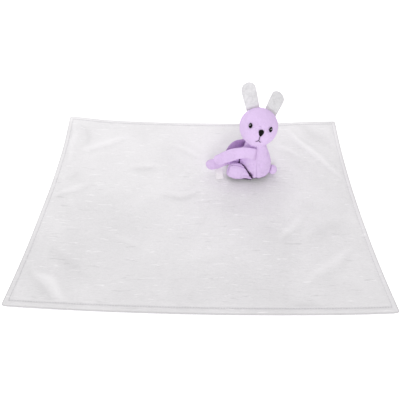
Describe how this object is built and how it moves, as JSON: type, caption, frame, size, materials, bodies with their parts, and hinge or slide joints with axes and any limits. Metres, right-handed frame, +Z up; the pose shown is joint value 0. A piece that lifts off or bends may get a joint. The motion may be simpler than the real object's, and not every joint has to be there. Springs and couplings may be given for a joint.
{
  "type": "puppy blanket with plush toy",
  "caption": "Soft white puppy blanket lying spread out, with a lilac plush rabbit seated on it whose banded arms close in a loop to hold the rolled blanket.",
  "frame": {"origin": "middle of the blanket's underside, on the floor", "axes": "+X along the width of the blanket, +Y towards its back edge, +Z up"},
  "size_m": [0.75, 0.508, 0.2184],
  "materials": {
    "pile_white": "silky short pile with streaks where the nap lies over",
    "backing_white": "matt short pile",
    "thread_white": "sewing and embroidery thread",
    "thread_lilac": "sewing thread",
    "thread_black": "satin-stitch embroidery",
    "plush_white": "short white plush",
    "plush_lilac": "short lilac plush",
    "fibre": "loose fibre filling",
    "tape": "woven fastening tape",
    "satin": "blank satin ribbon"
  },
  "bodies": {
    "blanket": {"blanket_backing_sheet": "backing_white", "blanket_face_sheet": "pile_white", "edge_topstitch_thread": "thread_white"},
    "torso": {"torso_front_panel": "plush_lilac", "torso_back_panel": "plush_lilac", "torso_filling": "fibre", "neck_seam_thread": "thread_lilac", "tail": "plush_lilac"},
    "head": {"head_front_panel": "plush_lilac", "head_back_panel": "plush_lilac", "head_filling": "fibre", "eye_left_stitching": "thread_black", "eye_left_glint": "thread_white", "eye_right_stitching": "thread_black", "eye_right_glint": "thread_white", "nose_stitching": "thread_black", "mouth_thread": "thread_black"},
    "ear_left": {"ear_left_front_layer": "plush_white", "ear_left_back_layer": "plush_white"},
    "ear_right": {"ear_right_front_layer": "plush_white", "ear_right_back_layer": "plush_white"},
    "arm_left": {"arm_left_outer_layer": "plush_lilac", "arm_left_inner_layer": "plush_lilac", "loop_patch": "tape"},
    "arm_right": {"arm_right_outer_layer": "plush_lilac", "arm_right_inner_layer": "plush_lilac", "hook_patch": "tape"},
    "leg_left": {"leg_left_outer_panel": "plush_lilac", "leg_left_inner_panel": "plush_lilac", "leg_left_filling": "fibre"},
    "leg_right": {"leg_right_outer_panel": "plush_lilac", "leg_right_inner_panel": "plush_lilac", "leg_right_filling": "fibre"},
    "label": {"care_label": "satin"}
  },
  "joints": [
    {"name": "toy_lift", "type": "slide", "parent": "blanket", "child": "torso", "axis": [0, 0, 1], "range_m": [0, 0.25]},
    {"name": "head_turn", "type": "hinge", "parent": "torso", "child": "head", "pos_m": [0.126, 0.088, 0.1126], "axis": [0, 0, 1], "range_deg": [-60, 20], "stiffness_Nm_per_rad": 0.05},
    {"name": "ear_left_fold", "type": "hinge", "parent": "head", "child": "ear_left", "pos_m": [0.15392, 0.11377, 0.17573], "axis": [0.7866, -0.3817, -0.4854], "range_deg": [-20, 50], "stiffness_Nm_per_rad": 0.01},
    {"name": "ear_right_fold", "type": "hinge", "parent": "head", "child": "ear_right", "pos_m": [0.11189, 0.1202, 0.17934], "axis": [0.9321, 0.114, 0.3439], "range_deg": [-40, 40], "stiffness_Nm_per_rad": 0.01},
    {"name": "arm_left_swing", "type": "hinge", "parent": "torso", "child": "arm_left", "pos_m": [0.12174, 0.05788, 0.0896], "axis": [0, 0, 1], "range_deg": [0, 70]},
    {"name": "arm_right_swing", "type": "hinge", "parent": "torso", "child": "arm_right", "pos_m": [0.12279, 0.11751, 0.0746], "axis": [0, 0, -1], "range_deg": [0, 30]},
    {"name": "leg_left_splay", "type": "hinge", "parent": "torso", "child": "leg_left", "pos_m": [0.1346, 0.0347, 0.0076], "axis": [0, 0, 1], "range_deg": [0, 18], "stiffness_Nm_per_rad": 0.03},
    {"name": "leg_right_splay", "type": "hinge", "parent": "torso", "child": "leg_right", "pos_m": [0.1346, 0.1113, 0.0076], "axis": [0, 0, -1], "range_deg": [0, 18], "stiffness_Nm_per_rad": 0.03},
    {"name": "label_flap", "type": "hinge", "parent": "arm_right", "child": "label", "pos_m": [0.04199, 0.06494, 0.02459], "axis": [-0.809, 0, -0.5878], "range_deg": [0, 36]}
  ]
}
